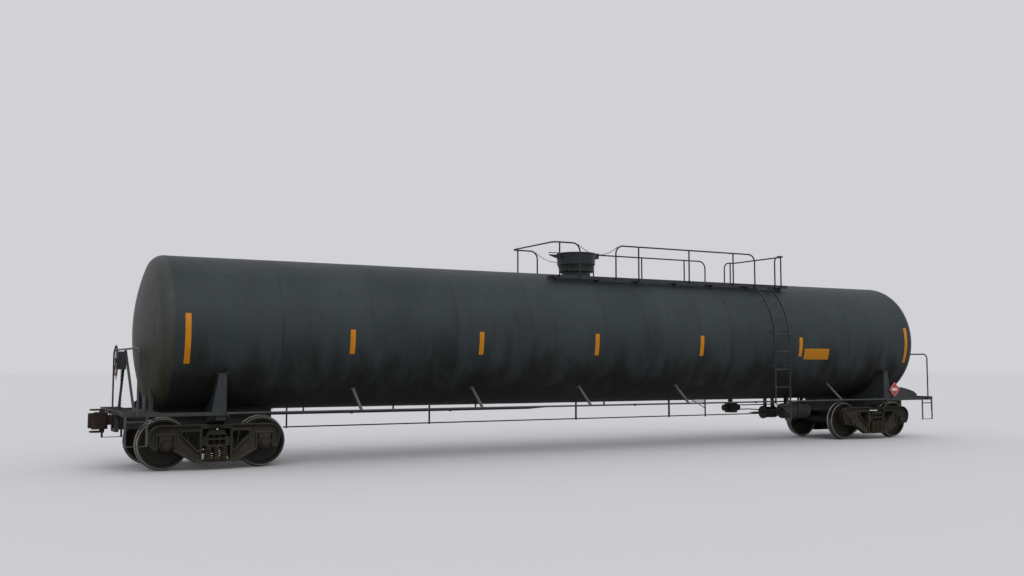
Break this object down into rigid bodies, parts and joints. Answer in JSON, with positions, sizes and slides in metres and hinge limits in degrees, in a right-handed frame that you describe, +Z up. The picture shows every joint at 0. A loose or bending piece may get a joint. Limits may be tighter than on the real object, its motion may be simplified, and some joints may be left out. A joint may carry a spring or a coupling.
{
  "type": "railway tank car",
  "caption": "Jacketed pressure tank car on two swivelling trucks, with turning wheels, swinging couplers, opening knuckles and a hinged valve housing cover.",
  "frame": {"origin": "middle of the car at the level of the wheel flanges' lowest points", "axes": "+X along the car towards the end without the hand brake, +Y away from the picture's side, +Z up"},
  "size_m": [21.052, 3.244, 4.6222],
  "materials": {
    "jacket_grey": "weathered satin",
    "frame_grey": "dusty satin",
    "rail_grey": "satin",
    "grating_grey": "worn matt",
    "housing_grey": "satin",
    "cast_brown": "rusty, dusty",
    "spring_steel": "rusty",
    "wheel_steel": "rusty with bright tread",
    "bearing_rust": "rusty",
    "coupler_rust": "rusty",
    "valve_steel": "dull",
    "chain_steel": "dull galvanised",
    "brake_black": "dusty",
    "placard_grey": "dull"
  },
  "bodies": {
    "car_body": {"tank_shell": "jacket_grey", "corner_steps": "frame_grey", "side_handrail_far": "rail_grey", "side_handrail_near": "rail_grey", "ladder_far": "rail_grey", "ladder_near": "rail_grey", "top_platform": "grating_grey", "railing_left": "rail_grey", "railing_right": "rail_grey", "side_rails": "rail_grey", "safety_chains": "chain_steel", "manway_neck": "housing_grey", "manway_cover": "housing_grey", "protective_housing": "housing_grey", "relief_valve": "valve_steel", "angle_valves": "valve_steel", "placard_holders": "placard_grey", "hand_brake_stand": "frame_grey", "hand_brake_wheel": "rail_grey", "air_reservoir": "brake_black", "brake_cylinder": "brake_black", "control_valve": "brake_black", "brake_pipe": "brake_black", "brake_rods": "brake_black", "uncoupling_levers": "rail_grey", "saddle_left": "frame_grey", "stub_sill_left": "frame_grey", "end_frame_left": "frame_grey", "end_platform_left": "grating_grey", "end_railing_left": "rail_grey", "saddle_right": "frame_grey", "stub_sill_right": "frame_grey", "end_frame_right": "frame_grey", "end_platform_right": "grating_grey", "end_railing_right": "rail_grey"},
    "housing_cover_body": {"housing_cover": "housing_grey"},
    "truck_left": {"truck_left_side_frame_near": "cast_brown", "truck_left_side_frame_far": "cast_brown", "truck_left_bolster": "cast_brown", "truck_left_springs": "spring_steel", "truck_left_bearings": "bearing_rust", "truck_left_brake_beams": "cast_brown"},
    "wheels_left_outer": {"wheelset_left_outer": "wheel_steel"},
    "wheels_left_inner": {"wheelset_left_inner": "wheel_steel"},
    "coupler_left_body": {"coupler_left": "coupler_rust"},
    "knuckle_left_body": {"knuckle_left": "coupler_rust"},
    "truck_right": {"truck_right_side_frame_near": "cast_brown", "truck_right_side_frame_far": "cast_brown", "truck_right_bolster": "cast_brown", "truck_right_springs": "spring_steel", "truck_right_bearings": "bearing_rust", "truck_right_brake_beams": "cast_brown"},
    "wheels_right_outer": {"wheelset_right_outer": "wheel_steel"},
    "wheels_right_inner": {"wheelset_right_inner": "wheel_steel"},
    "coupler_right_body": {"coupler_right": "coupler_rust"},
    "knuckle_right_body": {"knuckle_right": "coupler_rust"}
  },
  "joints": [
    {"name": "housing_cover_hinge", "type": "hinge", "parent": "car_body", "child": "housing_cover_body", "pos_m": [0.525, 0, 4.4954], "axis": [0, 1, 0], "range_deg": [0, 105]},
    {"name": "truck_left_swivel", "type": "hinge", "parent": "car_body", "child": "truck_left", "pos_m": [-8.458, 0, 0.68], "axis": [0, 0, 1], "range_deg": [-10, 10]},
    {"name": "wheels_left_outer_spin", "type": "hinge", "parent": "truck_left", "child": "wheels_left_outer", "pos_m": [-9.347, 0, 0.4826], "axis": [0, 1, 0], "continuous": true},
    {"name": "wheels_left_inner_spin", "type": "hinge", "parent": "truck_left", "child": "wheels_left_inner", "pos_m": [-7.569, 0, 0.4826], "axis": [0, 1, 0], "continuous": true},
    {"name": "coupler_left_swing", "type": "hinge", "parent": "car_body", "child": "coupler_left_body", "pos_m": [-9.38, 0, 0.8894], "axis": [0, 0, 1], "range_deg": [-7, 7]},
    {"name": "knuckle_left_open", "type": "hinge", "parent": "coupler_left_body", "child": "knuckle_left_body", "pos_m": [-10.355, 0.115, 0.8894], "axis": [0, 0, -1], "range_deg": [0, 45]},
    {"name": "truck_right_swivel", "type": "hinge", "parent": "car_body", "child": "truck_right", "pos_m": [8.458, 0, 0.68], "axis": [0, 0, 1], "range_deg": [-10, 10]},
    {"name": "wheels_right_outer_spin", "type": "hinge", "parent": "truck_right", "child": "wheels_right_outer", "pos_m": [9.347, 0, 0.4826], "axis": [0, 1, 0], "continuous": true},
    {"name": "wheels_right_inner_spin", "type": "hinge", "parent": "truck_right", "child": "wheels_right_inner", "pos_m": [7.569, 0, 0.4826], "axis": [0, 1, 0], "continuous": true},
    {"name": "coupler_right_swing", "type": "hinge", "parent": "car_body", "child": "coupler_right_body", "pos_m": [9.38, 0, 0.8894], "axis": [0, 0, 1], "range_deg": [-7, 7]},
    {"name": "knuckle_right_open", "type": "hinge", "parent": "coupler_right_body", "child": "knuckle_right_body", "pos_m": [10.355, -0.115, 0.8894], "axis": [0, 0, -1], "range_deg": [0, 45]}
  ]
}
